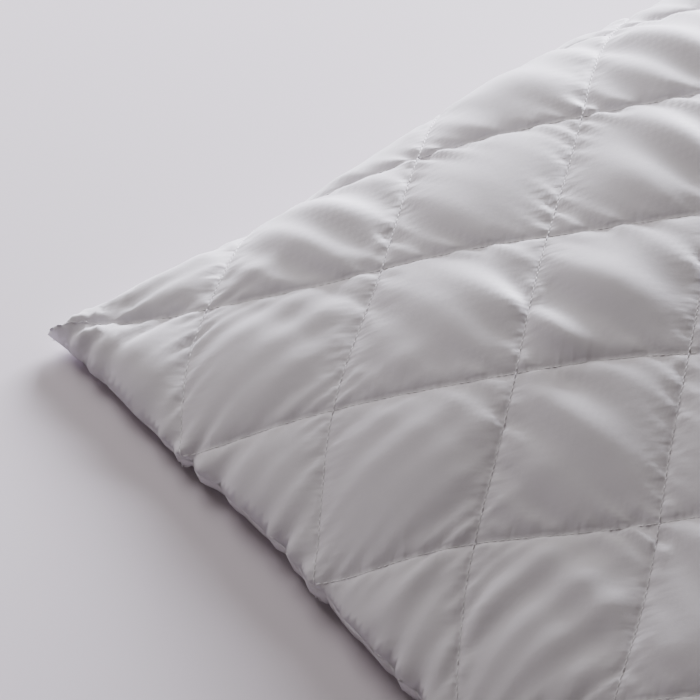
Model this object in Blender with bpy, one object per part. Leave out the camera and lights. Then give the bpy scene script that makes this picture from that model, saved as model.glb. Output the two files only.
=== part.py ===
"""Quilted bed pillow, made from its cut pieces: two quilted panels sewn together round a fibre filling.

Metres, +Z up. The pillow lies flat with its long side along X. The origin is at the bottom centre.

Each panel is a face fabric, a sheet of wadding and a thin backing, quilted together along two sets of
diagonal lines that cross as square diamonds. A point of a panel is named by its place on the flat cut
cloth: s runs from -1 to 1 along the length and t from -1 to 1 across the width. One function says where
that point lies on the stuffed pillow, at any depth under the outer surface, so that the layers nest.
"""

import math

import bmesh
import bpy
import numpy as np

# Cut cloth and quilting
CUT_LENGTH = 0.700
CUT_WIDTH = 0.500
DIAMOND = 0.100  # point to point, the same both ways
HALF_DIAMOND = DIAMOND / 2

# Stuffed shape
TAKE_UP = 0.985  # the stuffed pillow's corners are this much nearer than the cut cloth's
END_PULL = 0.055  # how far the middle of a short end draws in, as a part of the half length
SIDE_PULL = 0.050  # the same for the middle of a long side, of the half width
SEAM_CORNER_HEIGHT = 0.012
SEAM_MIDDLE_HEIGHT = 0.040
TOP_LOFT = 0.080
BOTTOM_LOFT = 0.060
END_FULLNESS = 0.75  # exponent of the crown along the length: lower is fuller near the seam
SIDE_FULLNESS = 0.50  # the same across the width
PUFF = 0.008  # a diamond's middle stands this far out of its stitch lines
REST_VALLEY = 0.0030  # stitch lines under the pillow lie this far above what it rests on

# Layers, as depths under the outer surface at the crown
FABRIC = 0.0006
WADDING = 0.0060
BACKING = 0.0005
LAYER_GAP = 0.0008
THINNING = 0.020  # where a panel stands less than this over the seam, its layers are pressed thinner
SEAM_HALF_GAP = 0.0025  # the outer surface's edge stays this far from the seam's middle plane
SEAM_SPREAD = 0.12  # each deeper surface's edge is nearer the plane by this part of its depth

# Threads
THREAD_RADIUS = 0.0004
THREAD_GAP = 0.00035
THREAD_SIDES_RESOLUTION = 0
SEAM_THREAD_INSET = 0.0040
CLOSING_THREAD_INSET = 0.0022
CLOSING_SPAN = 0.40  # the hand closed stretch, as a part of the short end

COLLECTION = "bed_pillow"


def material(name, colour, roughness):
    """A plain Principled material of one colour."""
    made = bpy.data.materials.new(name)
    made.use_nodes = True
    shader = made.node_tree.nodes["Principled BSDF"]
    shader.inputs["Base Color"].default_value = (*colour, 1.0)
    shader.inputs["Roughness"].default_value = roughness
    shader.inputs["Metallic"].default_value = 0.0
    return made


def seam_plane(s, t):
    """Height of the plane between the two panels: lowest at the corners, highest at the middle of each side."""
    middle = np.clip(1 - (s * t) ** 2, 0, 1) ** 1.5
    return SEAM_CORNER_HEIGHT + (SEAM_MIDDLE_HEIGHT - SEAM_CORNER_HEIGHT) * middle


def crown(s, t):
    """1 at the middle of the panel and 0 on its seam, with a round shoulder."""
    return np.clip(1 - s * s, 0, 1) ** END_FULLNESS * np.clip(1 - t * t, 0, 1) ** SIDE_FULLNESS


def puff(s, t):
    """1 at the middle of each diamond and 0 on its stitch lines."""
    x = s * CUT_LENGTH / 2
    y = t * CUT_WIDTH / 2
    across = np.abs(np.sin(math.pi * (x + y - corner_phase()) / DIAMOND))
    along = np.abs(np.sin(math.pi * (x - y - corner_phase()) / DIAMOND))
    return across * along


def corner_phase():
    """Shift that makes the stitch lines run into the four corners."""
    return (CUT_LENGTH + CUT_WIDTH) / 2


def panel_point(s, t, side, depth):
    """The place of flat point (s, t) on the top (side 1) or bottom (side -1) panel, at this depth.

    The layers thin out together towards the seam. A negative depth is a height over the surface, in full.
    """
    s = np.asarray(s, float)
    t = np.asarray(t, float)
    x = s * TAKE_UP * CUT_LENGTH / 2 * (1 - END_PULL * (1 - t * t)) - s * depth
    y = t * TAKE_UP * CUT_WIDTH / 2 * (1 - SIDE_PULL * (1 - s * s)) - t * depth
    height = crown(s, t)
    puffed = puff(s, t) * np.minimum(1, height * 4)
    if side > 0:
        rise = TOP_LOFT * height + PUFF * puffed
    else:
        rise = np.minimum(BOTTOM_LOFT * height, seam_plane(s, t) - SEAM_HALF_GAP - REST_VALLEY)
        rise = rise + REST_VALLEY * puffed
    inside = max(depth, 0.0)
    over = max(-depth, 0.0)
    rise = rise - inside * np.minimum(1, rise / THINNING) + over
    half_gap = SEAM_HALF_GAP - SEAM_SPREAD * inside
    return np.stack([x, y, seam_plane(s, t) + side * (half_gap + rise)], axis=-1)


def folded_grid(mesh):
    """A flat grid of squares over s and t, each square folded along the stitch line's diagonal."""
    columns = round(CUT_LENGTH / HALF_DIAMOND)
    rows = round(CUT_WIDTH / HALF_DIAMOND)
    bmesh.ops.create_grid(mesh, x_segments=columns, y_segments=rows, size=1.0)
    for face in list(mesh.faces):
        middle = face.calc_center_median()
        column = math.floor((middle.x + 1) / 2 * columns)
        row = math.floor((middle.y + 1) / 2 * rows)
        square = sorted(face.verts, key=lambda corner: (round(corner.co.y, 6), corner.co.x))
        falling = (column + row) % 2
        bmesh.utils.face_split(face, *(square[1:3] if falling else square[::3]))


def place(corners, side, depth):
    """Moves corners from their flat places to the stuffed pillow."""
    flat = np.array([corner.co[:2] for corner in corners])
    for corner, point in zip(corners, panel_point(flat[:, 0], flat[:, 1], side, depth)):
        corner.co = point


def press_flat(mesh, surface):
    """Halves the triangles of this surface and presses the middles of the low diamonds flat at z = 0."""
    edges = list({edge for face in surface for edge in face.edges})
    bmesh.ops.subdivide_edges(mesh, edges=edges, cuts=1, use_grid_fill=True)
    for corner in mesh.verts:
        if FABRIC * 1.5 < corner.co.z < REST_VALLEY * 0.6:
            corner.co.z = 0.0


def closed_sheet(outer, inner, resting=False):
    """A closed body between two surfaces, each given as its side and its depth."""
    mesh = bmesh.new()
    folded_grid(mesh)
    first = list(mesh.verts)
    surface = list(mesh.faces)
    made = bmesh.ops.extrude_face_region(mesh, geom=surface, use_keep_orig=True)["geom"]
    second = [item for item in made if isinstance(item, bmesh.types.BMVert)]
    place(first, *outer)
    place(second, *inner)
    if resting:
        press_flat(mesh, surface)
    bmesh.ops.recalc_face_normals(mesh, faces=mesh.faces)
    if mesh.calc_volume(signed=True) < 0:
        bmesh.ops.reverse_faces(mesh, faces=mesh.faces)
    return mesh


def finish_object(name, mesh, paint):
    """Puts the mesh in an object of the parts' collection."""
    data = bpy.data.meshes.new(name)
    mesh.to_mesh(data)
    mesh.free()
    data.materials.append(paint)
    made = bpy.data.objects.new(name, data)
    bpy.data.collections[COLLECTION].objects.link(made)
    return made


def layer(name, side, depth, thickness, paint, resting=False):
    """A sheet of a panel, from its outer surface to its inner one."""
    mesh = closed_sheet((side, depth), (side, depth + thickness), resting)
    return finish_object(name, mesh, paint)


def filling(name, depth, paint):
    """The stuffing, from its top surface to its bottom one."""
    return finish_object(name, closed_sheet((1, depth), (-1, depth)), paint)


def thread(name, points, paint, closed=False):
    """A sewing thread along these points."""
    curve = bpy.data.curves.new(name, "CURVE")
    curve.dimensions = "3D"
    curve.bevel_depth = THREAD_RADIUS
    curve.bevel_resolution = THREAD_SIDES_RESOLUTION
    curve.use_fill_caps = True
    line = curve.splines.new("POLY")
    line.points.add(len(points) - 1)
    for point, place in zip(line.points, points):
        point.co = (*place, 1.0)
    line.use_cyclic_u = closed
    curve.materials.append(paint)
    made = bpy.data.objects.new(name, curve)
    bpy.data.collections[COLLECTION].objects.link(made)
    return made


def quilting_line(number, direction):
    """Flat points (s, t) of one stitch line, at its crossings and its ends on the seam.

    Lines are counted from one corner, along the diamonds' points. Direction 1 counts from the near left
    corner and direction -1 from the near right one.
    """
    half_l = CUT_LENGTH / 2
    half_w = CUT_WIDTH / 2
    offset = DIAMOND * number - half_l - half_w
    low = max(-half_l, offset - half_w)
    high = min(half_l, offset + half_w)
    x = np.linspace(low, high, round((high - low) / HALF_DIAMOND) + 1)
    return direction * x / half_l, (offset - x) / half_w


def quilting_threads(paint):
    """Every quilting line of both panels, each its own thread."""
    lines = round((CUT_LENGTH + CUT_WIDTH) / DIAMOND)
    near = THREAD_GAP + THREAD_RADIUS
    far = 2 * near + THREAD_RADIUS
    for panel, side in (("top", 1), ("bottom", -1)):
        for letter, direction, lift in (("a", 1, near), ("b", -1, far)):
            for number in range(1, lines):
                s, t = quilting_line(number, direction)
                points = panel_point(s, t, side, -lift)
                thread(f"{panel}_quilting_thread_{letter}{number}", points, paint)


def round_the_seam():
    """Flat points once round the edge of the panel."""
    columns = round(CUT_LENGTH / HALF_DIAMOND)
    rows = round(CUT_WIDTH / HALF_DIAMOND)
    s = np.linspace(-1, 1, columns, endpoint=False)
    t = np.linspace(-1, 1, rows, endpoint=False)
    along = np.concatenate([s, np.ones(rows), -s, -np.ones(rows)])
    up = np.concatenate([-np.ones(columns), t, np.ones(columns), -t])
    return along, up


def seam_middle(s, t, inset):
    """A point of the seam's middle plane, this far inside the edge."""
    placed = panel_point(s, t, 1, inset)
    placed[..., 2] = seam_plane(s, t)
    return placed


def build():
    for old in list(bpy.data.objects):
        bpy.data.objects.remove(old)
    parts = bpy.data.collections.new(COLLECTION)
    bpy.context.scene.collection.children.link(parts)

    cotton = material("face_fabric", (0.80, 0.79, 0.82), 0.62)
    fleece = material("wadding", (0.86, 0.86, 0.87), 0.90)
    lining = material("backing", (0.84, 0.84, 0.85), 0.80)
    fibre = material("fibre", (0.88, 0.88, 0.89), 0.95)
    yarn = material("thread", (0.83, 0.82, 0.85), 0.55)

    wadding_depth = FABRIC + LAYER_GAP
    backing_depth = wadding_depth + WADDING + LAYER_GAP
    filling_depth = backing_depth + BACKING + LAYER_GAP
    for panel, side in (("top", 1), ("bottom", -1)):
        layer(f"{panel}_face_fabric", side, 0.0, FABRIC, cotton, resting=side < 0)
        layer(f"{panel}_wadding", side, wadding_depth, WADDING, fleece)
        layer(f"{panel}_backing", side, backing_depth, BACKING, lining)
    filling("fibre_filling", filling_depth, fibre)

    quilting_threads(yarn)
    edge = seam_middle(*round_the_seam(), SEAM_THREAD_INSET)
    thread("edge_seam_thread", edge, yarn, closed=True)
    across = np.linspace(-CLOSING_SPAN, CLOSING_SPAN, 5)
    closing = seam_middle(np.ones_like(across), across, CLOSING_THREAD_INSET)
    thread("closing_seam_thread", closing, yarn)


build()
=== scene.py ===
import math

import bmesh
import bpy
import numpy as np
from mathutils import Matrix, Vector


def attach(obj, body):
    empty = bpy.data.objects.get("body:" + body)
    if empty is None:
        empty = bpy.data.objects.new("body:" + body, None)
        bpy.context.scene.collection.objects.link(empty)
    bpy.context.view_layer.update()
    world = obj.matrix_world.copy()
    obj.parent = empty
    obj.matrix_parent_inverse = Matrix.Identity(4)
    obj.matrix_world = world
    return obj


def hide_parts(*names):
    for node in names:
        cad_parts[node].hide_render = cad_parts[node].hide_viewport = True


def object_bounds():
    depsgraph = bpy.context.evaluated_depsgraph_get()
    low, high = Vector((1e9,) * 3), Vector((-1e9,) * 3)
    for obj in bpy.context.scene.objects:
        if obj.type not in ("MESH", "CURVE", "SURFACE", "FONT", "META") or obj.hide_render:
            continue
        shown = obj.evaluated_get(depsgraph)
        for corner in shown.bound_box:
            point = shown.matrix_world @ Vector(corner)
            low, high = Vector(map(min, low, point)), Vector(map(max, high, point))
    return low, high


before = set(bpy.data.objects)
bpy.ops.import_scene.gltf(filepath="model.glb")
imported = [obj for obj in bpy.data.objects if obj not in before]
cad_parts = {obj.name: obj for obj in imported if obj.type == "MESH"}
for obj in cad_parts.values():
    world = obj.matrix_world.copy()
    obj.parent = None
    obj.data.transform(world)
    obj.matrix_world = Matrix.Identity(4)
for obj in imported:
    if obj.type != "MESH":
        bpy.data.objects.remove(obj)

# Quilted bed pillow: the looks. Metres, +Z up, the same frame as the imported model.
# Two quilted panels lie over a fibre filling and meet at a turned seam. A point of a panel is named by
# its place on the flat cut cloth, either as (s, t), from -1 to 1 along the length and the width, or by
# the quilting: a and b count the two sets of stitch lines, which run where a or b is a whole number.

CAD_LOW, CAD_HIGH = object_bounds()
TOP, BOTTOM = 1, -1

# Cut cloth and quilting
CELLS_LONG = 7  # diamonds along the length
CELLS_WIDE = 5
DIAMOND = 0.100  # point to point
CELL_SIDE = DIAMOND / math.sqrt(2)
STITCHES_PER_SIDE = 24  # stitches from one crossing to the next, so about 2.9 mm each
LINES = range(-5, 6)  # the stitch lines of each direction

# Stuffed shape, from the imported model's box
SEAM_ROOM = 0.002  # the seam keeps this far inside the box
HALF_LENGTH = (CAD_HIGH.x - CAD_LOW.x) / 2 - SEAM_ROOM
HALF_WIDTH = (CAD_HIGH.y - CAD_LOW.y) / 2 - SEAM_ROOM
END_PULL = 0.036  # how far the middle of a short end draws in, as a part of the half length
SIDE_PULL = 0.058
SEAM_CORNER = 0.0045  # height of the seam at the corners
SEAM_SIDE = 0.028  # at the middle of a long side
SEAM_END = 0.011  # at the middle of a short end
SEAM_POWER = 1.3  # the seam leaves its corners more gently than a parabola
LOFT = 0.0965  # crown of the top panel over its seam
LOFT_TILT = 0.048  # how much higher the crown is towards +Y
ACROSS = (3.15, 0.67, 0.06)  # the width's section: see rounded()
ALONG = (2.0, 1.03, 0.05)  # the length's section
UNDER_LOFT = 0.060  # how far the bottom panel would hang under its seam with nothing below it
LIE_FLAT = 0.0035  # stitch lines under the pillow lie this far over what it rests on
END_LEAN = 0.0058  # the first crossings from a short end lie this far aside
END_DRAW = 0.0067  # and this far towards the seam
END_FADE = 0.057  # both fade within this much from the end

# Unevenness that a hand leaves in a stuffed pillow
WANDER = 0.0010  # sideways
WANDER_PITCH = 0.13
LUMPS = 0.0016  # up and down
LUMP_PITCH = 0.17
SCALLOP = 0.0010  # in and out of the seam, one gather of the cloth after another
SCALLOP_PITCH = 0.021
LOBE = 0.0018  # larger rounded lobes of the short ends, with a notch between them
LOBE_PITCH = 0.025
LOBE_LEVEL = 0.64  # the mean of the lobes' half waves
EAR_SIZE = 0.030  # the turned corners are small thick ears
EAR_RISE = 0.0100
EAR_CRINKLE = 0.0016
EAR_CRINKLE_PITCH = 0.008
EAR_EDGE = 0.007  # an ear's edge is rounded over this width


def ripple(x, y, pitch, seed, bias=0.0, count=7):
    """Smooth unevenness, mostly within 1 of zero: seeded waves in all directions, or with bias along x."""
    draw = np.random.default_rng(seed)
    turn = draw.uniform(0, math.pi, count) * (1 - bias)
    pitches = pitch * draw.uniform(0.7, 1.5, count)
    phase = draw.uniform(0, 2 * math.pi, count)
    total = np.zeros_like(x)
    for way, length, start in zip(turn, pitches, phase):
        total = total + np.sin(2 * math.pi * (x * math.cos(way) + y * math.sin(way)) / length + start)
    return total / math.sqrt(count)


def ramp(value, low, high):
    """0 below low and 1 above high, with a smooth cubic between them, or falling where low is larger."""
    part = np.clip((value - low) / (high - low), 0, 1)
    return part * part * (3 - 2 * part)


def rounded(along, power, fullness, shoulder):
    """A section's crown, 1 at the middle and 0 at the seam: a dome with some of a squarer one mixed in."""
    square = np.sqrt(np.clip(1 - np.abs(along) ** 16, 0, 1))
    return (1 - shoulder) * np.clip(1 - np.abs(along) ** power, 0, 1) ** fullness + shoulder * square


def flat_place(s, t):
    """The flat point (s, t) in metres from the middle of the cut cloth."""
    return s * CELLS_LONG * DIAMOND / 2, t * CELLS_WIDE * DIAMOND / 2


def seam_height(s, t):
    """Height of the seam plane: a blend of the corner, long side and short end heights."""
    side = np.clip(1 - s * s, 0, 1) ** SEAM_POWER
    end = np.clip(1 - t * t, 0, 1) ** SEAM_POWER
    lift = (SEAM_SIDE - SEAM_CORNER) * side * (1 - end) + (SEAM_END - SEAM_CORNER) * end * (1 - side)
    return SEAM_CORNER + lift + ((SEAM_SIDE + SEAM_END) / 2 - SEAM_CORNER) * side * end


def panel_surface(s, t, face):
    """Where the flat point (s, t) lies on the top or bottom panel, before the puffs.

    Each side is drawn in by a parabola, and the height over the seam is the product of two sections.
    Near a short end the crossings lean to one side and back again. The seam is lightly scalloped, the
    short ends have rounded lobes, and the corners of the top panel are thick ears with a round edge.
    """
    flat_x, flat_y = flat_place(s, t)
    inset = CELLS_LONG * DIAMOND / 2 - np.abs(flat_x)
    fade = np.exp(-inset / END_FADE) * np.clip(1 - t ** 8, 0, 1)
    t = t - END_LEAN * np.cos(2 * math.pi * inset / DIAMOND) * fade / HALF_WIDTH
    s = s + np.sign(s) * END_DRAW * np.sin(math.pi * inset / DIAMOND) * fade / HALF_LENGTH
    x = s * HALF_LENGTH * (1 - END_PULL * (1 - t * t))
    y = t * HALF_WIDTH * (1 - SIDE_PULL * (1 - s * s))
    near_side = np.abs(t) ** 40
    near_end = np.abs(s) ** 56
    along_side = SCALLOP * np.sin(2 * math.pi * flat_x / SCALLOP_PITCH + 2 * np.sin(flat_x * 71))
    along_end = SCALLOP * np.sin(2 * math.pi * flat_y / SCALLOP_PITCH + 2 * np.sin(flat_y * 83))
    lobes = np.abs(np.sin(math.pi * flat_y / LOBE_PITCH + 0.8 * np.sin(flat_y * 47))) - LOBE_LEVEL
    lobes = LOBE * lobes * np.clip(1 - t ** 6, 0, 1)
    x = x + np.sign(s) * (near_end * along_end + np.abs(s) ** 20 * lobes)
    x = x + WANDER * ripple(flat_x, flat_y, WANDER_PITCH, 1)
    y = y + np.sign(t) * near_side * along_side + WANDER * ripple(flat_x, flat_y, WANDER_PITCH, 2)
    across = rounded(t, *ACROSS)
    along = rounded(s, *ALONG)
    seam = seam_height(s, t) + near_side * along_side + near_end * along_end
    if face == TOP:
        rise = LOFT * (1 + LOFT_TILT * t) * across * along
        rise = rise + LUMPS * ripple(flat_x, flat_y, LUMP_PITCH, 3) * np.minimum(1, 3 * across * along)
        corner = np.hypot(1 - np.abs(s), (1 - np.abs(t)) * HALF_WIDTH / HALF_LENGTH) * HALF_LENGTH
        edge = np.minimum((1 - np.abs(s)) * HALF_LENGTH, (1 - np.abs(t)) * HALF_WIDTH)
        in_ear = np.exp(-(corner / EAR_SIZE) ** 2) * np.sqrt(np.clip(edge / EAR_EDGE, 0, 1))
        rise = rise + in_ear * (EAR_RISE + EAR_CRINKLE * ripple(flat_x, flat_y, EAR_CRINKLE_PITCH, 5))
    else:
        rise = np.minimum(UNDER_LOFT * np.sqrt(across * along), np.maximum(seam - LIE_FLAT, 0))
    return np.stack([x, y, seam + face * np.maximum(rise, 0)], axis=-1)


def lattice(count, grading):
    """The quilted panel's grid, count steps from one stitch line to the next, finer near the lines.

    Returns a, b and the faces: squares inside, and triangles where the cut edge runs corner to corner.
    """
    reach = (CELLS_LONG + CELLS_WIDE) // 2
    steps = np.arange(-reach * count, reach * count + 1)
    i, j = np.meshgrid(steps, steps, indexing="ij")
    inside = (abs(i + j) <= CELLS_LONG * count) & (abs(i - j) <= CELLS_WIDE * count)
    number = np.full(i.shape, -1)
    number[inside] = np.arange(inside.sum())
    part = steps / count - np.floor(steps / count)
    place = np.floor(steps / count) + part - grading * np.sin(2 * np.pi * part) / (2 * np.pi)
    a, b = np.meshgrid(place, place, indexing="ij")
    rings = np.stack([number[:-1, :-1], number[:-1, 1:], number[1:, 1:], number[1:, :-1]], axis=-1)
    rings = rings.reshape(-1, 4)
    corners = (rings >= 0).sum(axis=1)
    squares = rings[corners == 4]
    cut = rings[corners == 3]
    first = np.argmin(cut, axis=1)
    turn = (first[:, None] + np.arange(1, 4)) % 4
    triangles = np.take_along_axis(cut, turn, axis=1)
    return a[inside], b[inside], squares, triangles


def cut_place(a, b):
    """The flat point (s, t) where quilting lines a and b cross."""
    return (a + b) / CELLS_LONG, (a - b) / CELLS_WIDE


def mesh_object(name, points, *rings):
    """A new mesh object from points and one or more arrays of faces."""
    mesh = bpy.data.meshes.new(name)
    mesh.from_pydata(points.tolist(), [], [ring for group in rings for ring in group.tolist()])
    mesh.polygons.foreach_set("use_smooth", np.ones(len(mesh.polygons), bool))
    made = bpy.data.objects.new(name, mesh)
    bpy.context.scene.collection.objects.link(made)
    return made


def write_quilt_map(piece, a, b):
    """Stores the quilting's own coordinates as the piece's UV map, one whole number to a stitch line."""
    corners = np.empty(len(piece.data.loops), np.int32)
    piece.data.loops.foreach_get("vertex_index", corners)
    places = np.stack([a, b], axis=-1)[corners]
    layer = piece.data.uv_layers.new(name="quilt")
    layer.data.foreach_set("uv", places.astype(np.float32).ravel())


# ---- Stuffing the panels ----
GRID = {TOP: 30, BOTTOM: 24}  # steps from one stitch line to the next
GRADING = 0.45
PUFF_START = 0.0038
CORNER_PLUMP = 1.3  # how much plumper the puffs are in the corners
FOLD_START = 0.0015
FOLD_PITCH = 0.028
FOLD_BIAS = 0.90
FOLD_PATCHES = (0.75, 0.5)  # the folds' mean strength, and how much it differs from patch to patch
PATCH_PITCH = 0.11
END_FOLDS = (0.72, 0.90)  # where along the length the folds turn to run square to the short end
EXCESS_LONG = 0.12  # the cloth is cut this much longer than the space between the stitches
EXCESS_WIDE = 0.02  # and this much wider
EXCESS_END = 0.045  # and wider still at the short ends
SIM_SCALE = 10.0  # the cloth is worked out ten times as large, where its stiffness numbers behave
SIM_FRAMES = 18
PRESSURE = 0.12
CLOTH_STIFFNESS = 50.0
BENDING = 0.04
SIDE_CALM = 0.45  # how much flatter the puffs next to the long sides are
CALM_SIDE = (0.66, 0.92)  # where across the width that sets in
CALM_END = (0.85, 0.65)  # and where along the length it sets in, coming from an end
MOST_RISE = 0.014  # no point moves further than this
CREASE = (0.0015, 0.0009)  # how far the lines of the first and second direction are drawn in
CREASE_WIDTH = 0.0024
GATHER = 0.0011  # small gathers of the cloth beside a stitch line
GATHER_PITCH = 0.0095
GATHER_REACH = 0.0075
GATHER_CLEAR = 0.0010  # the stitch line itself stays clear of them
GATHER_BIAS = 0.93


def away_from_seam(s, t):
    """1 over the panel and 0 on its seam, over the last few millimetres."""
    return np.clip(1 - np.abs(s) ** 60, 0, 1) * np.clip(1 - np.abs(t) ** 44, 0, 1)


def crosswise(s, t, pitch, bias, seed):
    """Ripples that run across the pillow's width, and near a short end along its length."""
    flat_x, flat_y = flat_place(s, t)
    near_end = ramp(np.abs(s), *END_FOLDS)
    across = ripple(flat_x, flat_y, pitch, seed, bias)
    lengthwise = ripple(flat_y, flat_x, pitch * 0.85, seed + 10, bias)
    return across * (1 - near_end) + lengthwise * near_end


def start_shape(a, b, s, t, face):
    """The panel before it is blown up: low pillows between the lines, with seeded folds across them."""
    points = panel_surface(s, t, face)
    pillow = np.abs(np.sin(np.pi * a) * np.sin(np.pi * b))
    patches = ripple(*flat_place(s, t), PATCH_PITCH, 31 + face)
    strength = np.clip(FOLD_PATCHES[0] + FOLD_PATCHES[1] * patches, 0.15, 1.5)
    seeds = FOLD_START * strength * crosswise(s, t, FOLD_PITCH, FOLD_BIAS, 11 + face)
    edge = (1 - np.abs(s) ** 30) * (1 - np.abs(t) ** 22)
    plump = PUFF_START * (1 + CORNER_PLUMP * ramp(np.abs(s * t), 0.50, 0.80))
    points[:, 2] += face * (plump * pillow + seeds * np.minimum(1, 3 * pillow)) * edge
    return points


def blow_up(piece, start, cut, held):
    """Runs the cloth simulation on the piece and returns where its points come to rest.

    The held points stay. The cloth's rest lengths come from the cut shape, which is larger.
    """
    piece.data.vertices.foreach_set("co", (start * SIM_SCALE).astype(np.float32).ravel())
    piece.shape_key_add(name="start")
    rest = piece.shape_key_add(name="cut")
    rest.data.foreach_set("co", (cut * SIM_SCALE).astype(np.float32).ravel())
    group = piece.vertex_groups.new(name="stitched")
    group.add(np.flatnonzero(held).tolist(), 1.0, "REPLACE")
    cloth = piece.modifiers.new("Cloth", "CLOTH")
    cloth.collision_settings.use_collision = False
    cloth.point_cache.frame_end = SIM_FRAMES
    facts = cloth.settings
    facts.vertex_group_mass = "stitched"
    facts.rest_shape_key = rest
    facts.quality = 5
    facts.mass = 0.3
    facts.air_damping = 2
    facts.tension_stiffness = CLOTH_STIFFNESS
    facts.compression_stiffness = CLOTH_STIFFNESS
    facts.shear_stiffness = CLOTH_STIFFNESS / 3
    facts.bending_stiffness = BENDING
    facts.use_pressure = True
    facts.uniform_pressure_force = PRESSURE
    facts.effector_weights.gravity = 0
    scene = bpy.context.scene
    for step in range(1, SIM_FRAMES + 1):
        scene.frame_set(step)
    shown = piece.evaluated_get(bpy.context.evaluated_depsgraph_get())
    found = np.empty(len(start) * 3, np.float32)
    shown.data.vertices.foreach_get("co", found)
    piece.modifiers.remove(cloth)
    piece.shape_key_clear()
    piece.vertex_groups.clear()
    scene.frame_set(1)
    move = found.reshape(-1, 3) / SIM_SCALE - start
    far = np.linalg.norm(move, axis=1, keepdims=True)
    return start + move * np.minimum(1, MOST_RISE / np.maximum(far, 1e-9))


def crease_depth(from_a, from_b):
    """How far the panel is drawn in at these distances from the lines of both directions: a sharp fall."""
    first = CREASE[0] * np.exp(-from_a / CREASE_WIDTH)
    return np.maximum(first, CREASE[1] * np.exp(-from_b / CREASE_WIDTH))


def stuffed_points(piece, a, b, face):
    """The panel's outer surface: blown up between its stitches, and drawn in along them."""
    s, t = cut_place(a, b)
    from_a = np.abs(a - np.round(a)) * CELL_SIDE
    from_b = np.abs(b - np.round(b)) * CELL_SIDE
    on_seam = np.maximum(np.abs(s), np.abs(t)) > 1 - 1e-6
    points = start_shape(a, b, s, t, face)
    cut = panel_surface(s, t, face)
    cut[:, 0] *= 1 + EXCESS_LONG
    cut[:, 1] *= 1 + EXCESS_WIDE + EXCESS_END * np.abs(s) ** 3
    held = (np.minimum(from_a, from_b) < 1e-7) | on_seam
    blown = blow_up(piece, points, cut, held)
    calm = 1 - SIDE_CALM * ramp(np.abs(t), *CALM_SIDE) * ramp(np.abs(s), *CALM_END)
    points += (blown - points) * calm[:, None]
    from_line = np.minimum(from_a, from_b)
    gather = GATHER * np.exp(-from_line / GATHER_REACH) * (1 - np.exp(-from_line / GATHER_CLEAR))
    gather = gather * crosswise(s, t, GATHER_PITCH, GATHER_BIAS, 51 + face)
    sunk = (crease_depth(from_a, from_b) - gather) * away_from_seam(s, t)
    points[:, 2] = np.maximum(points[:, 2] - face * sunk, 0)
    return points


# ---- Panels ----
LAYERS = 0.0055  # fabric, wadding and backing together
LINING_GRID = 6
LINING_INSET = 0.014  # the lining keeps this far from the seam
LINING_GAP = 0.0006


def seam_loop(s, t):
    """The numbers of the points on the seam, in order round it from one corner.

    A point's place round the seam is reckoned along each side in turn.
    """
    on_seam = np.flatnonzero(np.maximum(np.abs(s), np.abs(t)) > 1 - 1e-6)
    u, v = s[on_seam], t[on_seam]
    low, right, high = v < -1 + 1e-6, u > 1 - 1e-6, v > 1 - 1e-6
    place = np.select([low & ~right, right & ~high, high & (u > -1 + 1e-6)], [u + 1, v + 3, 5 - u], 7 - v)
    return on_seam[np.argsort(place)]


def lining_points(s, t, face):
    """The panel's inner surface, under its layers, which are pressed thin near the seam."""
    s = s * (1 - LINING_INSET / HALF_LENGTH)
    t = t * (1 - LINING_INSET / HALF_WIDTH)
    flat = panel_surface(s, t, face)
    seam = seam_height(s, t)
    rise = face * (flat[:, 2] - seam)
    flat[:, 2] = seam + face * np.maximum(rise - LAYERS - CREASE[0] - LINING_GAP, LINING_GAP)
    return flat


def make_panel(name, face, finish):
    """A quilted panel: its stuffed outer surface and its lining, closed round the seam."""
    a, b, squares, triangles = lattice(GRID[face], GRADING)
    s, t = cut_place(a, b)
    flip = slice(None, None, face)
    begun = start_shape(a, b, s, t, face)
    cloth = mesh_object(name + "_cloth", begun, squares[:, flip], triangles[:, flip])
    outer = stuffed_points(cloth, a, b, face)
    bpy.data.objects.remove(cloth)
    la, lb, lining_squares, lining_triangles = lattice(LINING_GRID, 0.0)
    ls, lt = cut_place(la, lb)
    inner = lining_points(ls, lt, face)
    start = len(outer)
    rim = seam_loop(s, t)
    step = GRID[face] // LINING_GRID
    inner_rim = seam_loop(ls, lt) + start
    around = np.arange(len(rim))
    nearest = inner_rim[((around + step // 2) // step) % len(inner_rim)]
    hems = np.stack([rim, np.roll(rim, -1), nearest], axis=-1)[:, ::-1]
    # each lining edge spans several edges of the seam: the hems fan out from its two ends, and a link
    # closes the gap between two fans
    turn = np.flatnonzero(nearest != np.roll(nearest, -1))
    links = np.stack([np.roll(rim, -1)[turn], np.roll(nearest, -1)[turn], nearest[turn]], axis=-1)
    points = np.concatenate([outer, inner])
    back = slice(None, None, -face)
    piece = mesh_object(
        name, points, squares[:, flip], triangles[:, flip],
        lining_squares[:, back] + start, lining_triangles[:, back] + start, hems[:, flip], links[:, flip],
    )
    write_quilt_map(piece, np.concatenate([a, la]), np.concatenate([b, lb]))
    piece.data.materials.append(finish)
    return piece


# ---- Stitches ----
STITCH_LENGTH = 0.0025
STITCH_THICK = 0.00026  # half the thread's thickness
STITCH_ARCH = 0.00020
STITCH_RINGS = 5
STITCH_SIDES = 5
STITCH_LIFT = 0.2  # parts of the thread's half thickness that a stitch's middle stands over the crease
STEP = 1e-3  # of a diamond's side or of the pillow, for a direction taken from a small difference


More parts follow.
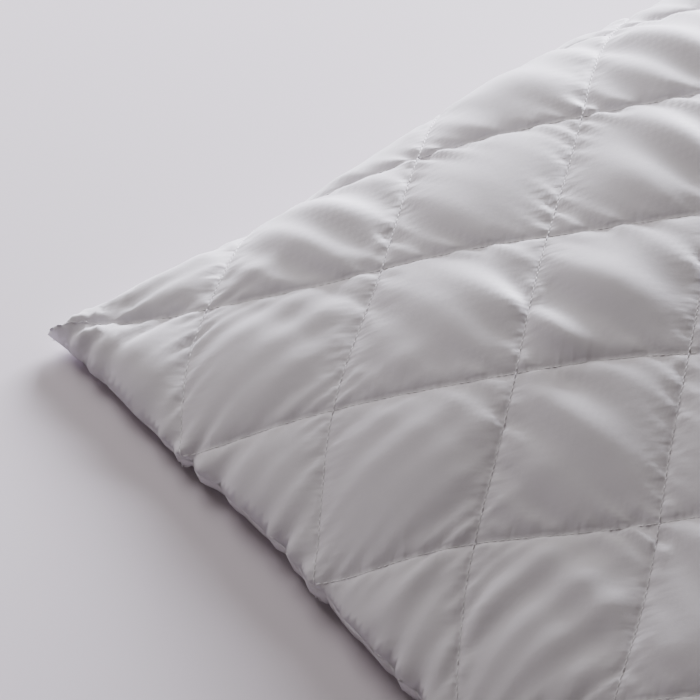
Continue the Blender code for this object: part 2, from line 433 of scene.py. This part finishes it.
def surface_frame(s, t, along, aside, face):
    """Points of a panel with the directions along a line on it and out of it, from small differences."""
    def slope(way):
        return panel_surface(s + way[0], t + way[1], face) - panel_surface(s - way[0], t - way[1], face)
    forward = slope(along)
    forward /= np.linalg.norm(forward, axis=1, keepdims=True)
    outward = np.cross(forward, slope(aside))
    outward /= np.linalg.norm(outward, axis=1, keepdims=True)
    outward *= np.sign(outward[:, 2:3]) * face
    return panel_surface(s, t, face), forward, outward


def make_stitches(name, middles, forward, outward, length, thick, arch, finish):
    """Short rounded lengths of thread: each arches over the cloth and dives into it at both ends."""
    travel = np.linspace(-1, 1, STITCH_RINGS)[None, :, None, None]
    angle = np.linspace(0, 2 * math.pi, STITCH_SIDES, endpoint=False)[None, None, :, None]
    swell = thick * np.sqrt(1 - 0.75 * travel ** 2)
    sideways = np.cross(forward, outward)
    ahead, up, side, middle = (part[:, None, None, :] for part in (forward, outward, sideways, middles))
    spine = middle + ahead * travel * length / 2 + up * (arch * (1 - travel ** 2) - arch / 2)
    points = spine + swell * (up * np.cos(angle) + side * np.sin(angle))
    count = len(middles)
    number = np.arange(count * STITCH_RINGS * STITCH_SIDES).reshape(count, STITCH_RINGS, STITCH_SIDES)
    after = np.roll(number, -1, axis=2)
    walls = np.stack([number[:, :-1], after[:, :-1], after[:, 1:], number[:, 1:]], axis=-1).reshape(-1, 4)
    ends = np.concatenate([number[:, 0, ::-1], number[:, -1]])
    piece = mesh_object(name, points.reshape(-1, 3), walls, ends)
    piece.data.materials.append(finish)
    return piece


def line_places(line, runs_along_b):
    """Where the stitches of one line lie, as a and b: midway between needle holes, from seam to seam."""
    low = max(-CELLS_LONG - line, line - CELLS_WIDE)
    high = min(CELLS_LONG - line, line + CELLS_WIDE)
    along = low + (np.arange((high - low) * STITCHES_PER_SIDE) + 0.5) / STITCHES_PER_SIDE
    across = np.full_like(along, line)
    return (across, along) if runs_along_b else (along, across)


def make_quilting(name, face, runs_along_b, finish):
    """Every stitch of one direction on one panel."""
    places = [line_places(line, runs_along_b) for line in LINES]
    a, b = (np.concatenate(part) for part in zip(*places))
    s, t = cut_place(a, b)
    step_a = np.array(cut_place(STEP, 0))
    step_b = np.array(cut_place(0, STEP))
    along, aside = (step_b, step_a) if runs_along_b else (step_a, step_b)
    middles, forward, outward = surface_frame(s, t, along, aside, face)
    from_a = np.abs(a - np.round(a)) * CELL_SIDE
    from_b = np.abs(b - np.round(b)) * CELL_SIDE
    sunk = crease_depth(from_a, from_b) * away_from_seam(s, t)
    middles[:, 2] -= face * sunk
    middles = middles + outward * STITCH_THICK * STITCH_LIFT
    middles[:, 2] = np.maximum(middles[:, 2], STITCH_THICK * 2)
    return make_stitches(name, middles, forward, outward, STITCH_LENGTH, STITCH_THICK, STITCH_ARCH, finish)


# ---- Seams ----
SEAM_STITCH = 0.0030
SEAM_STITCH_LENGTH = 0.0018
SEAM_STITCH_THICK = 0.00022
SEAM_STITCH_ARCH = 0.0003
SEAM_STITCH_SINK = 0.0006
CLOSING_STITCH = 0.0052
CLOSING_SPAN = 0.40  # the gap's part of the short end, from its middle to either side
CLOSING_SLANT = 0.5
CLOSING_LENGTH = 0.0042
CLOSING_THICK = 0.00035
CLOSING_ARCH = 0.0011


def seam_frame(s, t, turn_s, turn_t):
    """Points of the seam with the directions along it and out of it."""
    after = (s + turn_s * STEP, t + turn_t * STEP)
    before = (s - turn_s * STEP, t - turn_t * STEP)
    forward = panel_surface(*after, TOP) - panel_surface(*before, TOP)
    forward[:, 2] = seam_height(*after) - seam_height(*before)
    forward /= np.linalg.norm(forward, axis=1, keepdims=True)
    outward = np.cross(forward, np.array([0, 0, 1.0]))
    outward /= np.linalg.norm(outward, axis=1, keepdims=True)
    return panel_surface(s, t, TOP), forward, outward


def make_edge_seam(name, finish):
    """The small stitches of the turned seam, all round the pillow, nearly hidden between the panels."""
    along_x = (np.arange(round(CELLS_LONG * DIAMOND / SEAM_STITCH)) + 0.5) * 2
    s = along_x / len(along_x) - 1
    along_y = (np.arange(round(CELLS_WIDE * DIAMOND / SEAM_STITCH)) + 0.5) * 2
    t = along_y / len(along_y) - 1
    one_s, one_t = np.ones_like(s), np.ones_like(t)
    runs = [
        seam_frame(s, -one_s, one_s, 0 * one_s), seam_frame(one_t, t, 0 * one_t, one_t),
        seam_frame(s, one_s, -one_s, 0 * one_s), seam_frame(-one_t, t, 0 * one_t, -one_t),
    ]
    middles, forward, outward = (np.concatenate(part) for part in zip(*runs))
    middles = middles - outward * SEAM_STITCH_SINK
    shape = (SEAM_STITCH_LENGTH, SEAM_STITCH_THICK, SEAM_STITCH_ARCH)
    return make_stitches(name, middles, forward, outward, *shape, finish)


def make_closing_seam(name, finish):
    """Hand whipped stitches that close the gap the filling went in through: each slants over the seam."""
    count = round(CLOSING_SPAN * CELLS_WIDE * DIAMOND / CLOSING_STITCH)
    t = np.linspace(-CLOSING_SPAN, CLOSING_SPAN, count)
    one = np.ones_like(t)
    middles, forward, outward = seam_frame(one, t, 0 * one, one)
    slant = forward * CLOSING_SLANT + np.array([0, 0, 1.0])
    slant /= np.linalg.norm(slant, axis=1, keepdims=True)
    outward = np.cross(np.cross(slant, outward), slant)
    return make_stitches(name, middles, slant, outward, CLOSING_LENGTH, CLOSING_THICK, CLOSING_ARCH, finish)


# ---- Filling ----
FILLING_GRID = 6
FILLING_SPAN = (0.955, 0.94)  # its part of the pillow's length and width
FILLING_SCALE = 0.84
FILLING_LUMPS = 0.0018
FILLING_LUMP_PITCH = 0.05


def make_filling(name, finish):
    """The fibre body between the panels: their shape drawn in from the seam and towards the seam plane."""
    a, b, squares, triangles = lattice(FILLING_GRID, 0.0)
    s, t = cut_place(a, b)
    edge = (1 - np.abs(s) ** 12) * (1 - np.abs(t) ** 12)
    drawn_s, drawn_t = s * FILLING_SPAN[0], t * FILLING_SPAN[1]
    seam = seam_height(drawn_s, drawn_t)
    shells = []
    for face in (TOP, BOTTOM):
        shell = panel_surface(drawn_s, drawn_t, face)
        lumps = FILLING_LUMPS * ripple(shell[:, 0], shell[:, 1], FILLING_LUMP_PITCH, 41 + face)
        shell[:, 2] = seam + ((shell[:, 2] - seam) * FILLING_SCALE + lumps) * edge
        shells.append(shell)
    piece = mesh_object(
        name, np.concatenate(shells), squares, triangles,
        squares[:, ::-1] + len(s), triangles[:, ::-1] + len(s),
    )
    weld = bmesh.new()
    weld.from_mesh(piece.data)
    bmesh.ops.remove_doubles(weld, verts=weld.verts, dist=1e-5)
    bmesh.ops.recalc_face_normals(weld, faces=weld.faces)
    weld.to_mesh(piece.data)
    weld.free()
    piece.data.materials.append(finish)
    return piece


# ---- Camera ----
VIEW_TARGET = Vector((-0.273, 0.113, 0.050))
VIEW_AZIMUTH = math.radians(-26.3)
VIEW_ELEVATION = math.radians(39.4)
VIEW_ROLL = math.radians(-6.9)
VIEW_DISTANCE = 1.397
VIEW_LENS = 185.1


def make_camera():
    """A long lens that looks over one corner of the pillow."""
    data = bpy.data.cameras.new("camera")
    data.lens = VIEW_LENS
    data.clip_start = 0.05
    data.clip_end = 50
    camera = bpy.data.objects.new("camera", data)
    bpy.context.scene.collection.objects.link(camera)
    level = math.cos(VIEW_ELEVATION)
    sideways, onward = -math.sin(VIEW_AZIMUTH) * level, math.cos(VIEW_AZIMUTH) * level
    ahead = Vector((sideways, onward, -math.sin(VIEW_ELEVATION)))
    right = ahead.cross(Vector((0, 0, 1))).normalized()
    up = right.cross(ahead)
    side = math.cos(VIEW_ROLL) * right + math.sin(VIEW_ROLL) * up
    top = math.cos(VIEW_ROLL) * up - math.sin(VIEW_ROLL) * right
    turn = Matrix((side, top, -ahead)).transposed().to_4x4()
    camera.matrix_world = Matrix.Translation(VIEW_TARGET - ahead * VIEW_DISTANCE) @ turn
    bpy.context.scene.camera = camera


# ---- Finishes ----
class Wire:
    """A number from a shader socket that can be reckoned with: each sign adds its Math node."""

    def __init__(self, finish, socket):
        self.finish = finish
        self.socket = socket

    def sum(self, sign, first, second):
        return self.finish.maths(sign, first, second)

    def __add__(self, other):
        return self.sum("ADD", self, other)

    def __mul__(self, other):
        return self.sum("MULTIPLY", self, other)

    def __sub__(self, other):
        return self.sum("SUBTRACT", self, other)

    def __rsub__(self, other):
        return self.sum("SUBTRACT", other, self)

    __radd__ = __add__
    __rmul__ = __mul__


class Finish:
    """A procedural material being put together round its Principled shader."""

    def __init__(self, name, **steady):
        self.material = bpy.data.materials.new(name)
        self.material.use_nodes = True
        self.tree = self.material.node_tree
        self.shader = self.tree.nodes["Principled BSDF"]
        for socket, value in steady.items():
            self.shader.inputs[socket.replace("_", " ")].default_value = value

    def node(self, kind, settings=None, sockets=None, out=0):
        """Adds a node: its settings first, then the values or wires of its sockets."""
        made = self.tree.nodes.new(kind)
        for key, value in (settings or {}).items():
            setattr(made, key, value)
        for key, value in (sockets or {}).items():
            self.join(value, made.inputs[key])
        return Wire(self, made.outputs[out])

    def maths(self, operation, *values):
        return self.node("ShaderNodeMath", {"operation": operation}, dict(enumerate(values)))

    def join(self, value, socket):
        if isinstance(value, Wire):
            self.tree.links.new(value.socket, socket)
        else:
            socket.default_value = value

    def set(self, **wires):
        for socket, value in wires.items():
            self.join(value, self.shader.inputs[socket.replace("_", " ")])

    def noise(self, place, scale, detail=2.0, roughness=0.5):
        sockets = {"Vector": place, "Scale": scale, "Detail": detail, "Roughness": roughness}
        return self.node("ShaderNodeTexNoise", {}, sockets)

    def bump(self, height, reach, strength=1.0):
        """A Bump node for a height in units of reach metres."""
        return self.node("ShaderNodeBump", {}, {"Height": height, "Distance": reach, "Strength": strength})

    def mix(self, factor, first, second):
        return self.node("ShaderNodeMix", {"data_type": "RGBA"}, {0: factor, 6: first, 7: second}, 2)


PUCKER_CLOSE = 0.0012  # how far from a stitch line its needle dents reach
PUCKER_REACH = 0.0065  # and its finest puckers
STREAK_LONG = 4.0  # those puckers to a diamond's side, away from the line
STREAK_FINE = 13.0  # and along it
DENT_SWELL = 0.12  # how strongly the dents stand out in the bump
PUCKER_SWELL = 2.2  # and the puckers
BUMP_MIX = (0.5, 0.035, 0.25)  # the parts of the puckers, the nap and a soft unevenness in the bump
MICROFIBRE = (0.822, 0.784, 0.846, 1)
MICROFIBRE_DEEP = (0.782, 0.746, 0.806, 1)
YARN = (0.96, 0.93, 0.97, 1)
YARN_DEEP = (0.88, 0.85, 0.90, 1)
FIBRE = (0.90, 0.90, 0.91, 1)
FIBRE_DEEP = (0.78, 0.78, 0.79, 1)
PAINT = (0.690, 0.628, 0.693, 1)
PAINT_DEEP = (0.665, 0.604, 0.668, 1)


def microfibre():
    """White brushed microfibre with a slight satin sheen, puckered along its stitch lines."""
    finish = Finish("microfibre", Sheen_Weight=0.25, Sheen_Roughness=0.4, Specular_IOR_Level=0.35)
    here = finish.node("ShaderNodeTexCoord", out=3)
    quilt = finish.node("ShaderNodeUVMap", {"uv_map": "quilt"})
    split = finish.node("ShaderNodeSeparateXYZ", {}, {0: quilt})
    a = split
    b = Wire(finish, split.socket.node.outputs[1])
    puckers = 0.0
    for across, along, seed in ((a, b, 1.7), (b, a, 7.3)):
        from_line = finish.maths("PINGPONG", across, 0.5) * CELL_SIDE
        close = finish.maths("EXPONENT", from_line * (-1 / PUCKER_CLOSE))
        near = finish.maths("EXPONENT", from_line * (-1 / PUCKER_REACH))
        beat = finish.maths("COSINE", along * (2 * math.pi * STITCHES_PER_SIDE))
        place = {0: across * STREAK_LONG + seed, 1: along * STREAK_FINE, 2: seed}
        gathers = finish.noise(finish.node("ShaderNodeCombineXYZ", {}, place), 1.0, 1.5) - 0.5
        puckers = puckers + close * beat * DENT_SWELL + near * gathers * PUCKER_SWELL
    nap = finish.noise(here, 900.0, 3.0, 0.6)
    soft = finish.noise(here, 60.0, 2.0)
    height = puckers * BUMP_MIX[0] + nap * BUMP_MIX[1] + soft * BUMP_MIX[2]
    finish.set(
        Base_Color=finish.mix(nap * 0.5 + soft * 0.5, MICROFIBRE_DEEP, MICROFIBRE),
        Roughness=0.52 + nap * 0.12 + soft * 0.06,
        Normal=finish.bump(height, 0.0010),
    )
    return finish.material


def sewing_thread():
    """White polyester thread: fine plies, a little shinier than the cloth."""
    finish = Finish("sewing_thread", Specular_IOR_Level=0.5, Sheen_Weight=0.1)
    here = finish.node("ShaderNodeTexCoord", out=3)
    plies = finish.noise(here, 4200.0, 1.0)
    finish.set(
        Base_Color=finish.mix(plies, YARN_DEEP, YARN),
        Roughness=0.38 + plies * 0.2,
        Normal=finish.bump(plies, 0.00012),
    )
    return finish.material


def hollow_fibre():
    """Matt white polyester fibre, in soft matted tufts."""
    finish = Finish("hollow_fibre", Specular_IOR_Level=0.2)
    here = finish.node("ShaderNodeTexCoord", out=3)
    strands = finish.node(
        "ShaderNodeTexNoise", {}, {"Vector": here, "Scale": 260.0, "Detail": 4.0, "Distortion": 3.0}
    )
    finish.set(
        Base_Color=finish.mix(strands, FIBRE_DEEP, FIBRE),
        Roughness=0.85 + strands * 0.1,
        Normal=finish.bump(strands, 0.0020),
    )
    return finish.material


def table_paint():
    """Pale matt paint for the surface that the pillow lies on."""
    finish = Finish("table_paint", Specular_IOR_Level=0.3)
    here = finish.node("ShaderNodeTexCoord", out=3)
    cloud = finish.noise(here, 1.3, 2.0)
    finish.set(
        Base_Color=finish.mix(cloud, PAINT_DEEP, PAINT),
        Roughness=0.6 + cloud * 0.1,
    )
    return finish.material


# ---- Table and light ----
# Each light: how far it is turned from +X towards +Y, its rise, distance, width, height, watts, colour
LIGHT_TARGET = Vector((-0.20, 0.10, 0.03))
WINDOW = (math.radians(36), math.radians(17), 2.1, 1.5, 0.62, 238.0, (0.905, 0.920, 1.0))
CEILING = (math.radians(85), math.radians(40), 1.7, 1.1, 1.1, 20.0, (0.99, 0.955, 0.94))
ROOM_LIGHT = 0.14
ROOM_COLOUR = (1.0, 0.94, 0.85, 1)
TABLE_HALF = 5.0
TABLE_DROP = 0.0003  # a hair of air under the pillow


def make_table(finish):
    """A wide plain surface under the pillow."""
    half = TABLE_HALF
    corners = np.array([[-half, -half, 0], [half, -half, 0], [half, half, 0], [-half, half, 0]])
    table = mesh_object("table", corners - [0, 0, TABLE_DROP], np.array([[0, 1, 2, 3]]))
    table.data.materials.append(finish)


def make_light(name, turn, rise, distance, wide, high, watts, colour):
    """A large soft light that looks at the near corner of the pillow."""
    data = bpy.data.lights.new(name, "AREA")
    data.shape = "RECTANGLE"
    data.size = wide
    data.size_y = high
    data.energy = watts
    data.color = colour
    lamp = bpy.data.objects.new(name, data)
    lamp.visible_camera = False
    bpy.context.scene.collection.objects.link(lamp)
    level = math.cos(rise)
    way = Vector((math.cos(turn) * level, math.sin(turn) * level, math.sin(rise)))
    stand = Matrix.Translation(LIGHT_TARGET + way * distance)
    lamp.matrix_world = stand @ way.to_track_quat("Z", "Y").to_matrix().to_4x4()


def make_room():
    """An even pale room all round."""
    room = bpy.data.worlds.new("room")
    room.use_nodes = True
    sky = room.node_tree.nodes["Background"]
    sky.inputs["Color"].default_value = ROOM_COLOUR
    sky.inputs["Strength"].default_value = ROOM_LIGHT
    bpy.context.scene.world = room


# ---- Assembly ----
def fit(piece, slot, *nodes):
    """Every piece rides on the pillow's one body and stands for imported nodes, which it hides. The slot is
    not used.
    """
    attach(piece, "root")
    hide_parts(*nodes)


make_camera()
cloth, yarn = microfibre(), sewing_thread()
for side, face in (("top", TOP), ("bottom", BOTTOM)):
    panel = make_panel(f"{side}_quilted_panel", face, cloth)
    fit(panel, "face_fabric", f"{side}_face_fabric", f"{side}_wadding", f"{side}_backing")
    for letter, runs_along_b in (("a", True), ("b", False)):
        stitches = make_quilting(f"{side}_quilting_stitches_{letter}", face, runs_along_b, yarn)
        numbers = range(1, len(LINES) + 1)
        fit(stitches, "thread", *[f"{side}_quilting_thread_{letter}{number}" for number in numbers])
fit(make_edge_seam("edge_seam_stitches", yarn), "thread", "edge_seam_thread")
fit(make_closing_seam("closing_seam_stitches", yarn), "thread", "closing_seam_thread")
filling = make_filling("fibre_filling_body", hollow_fibre())
fit(filling, "fibre", "fibre_filling")
make_table(table_paint())
make_light("window", *WINDOW)
make_light("ceiling", *CEILING)
make_room()
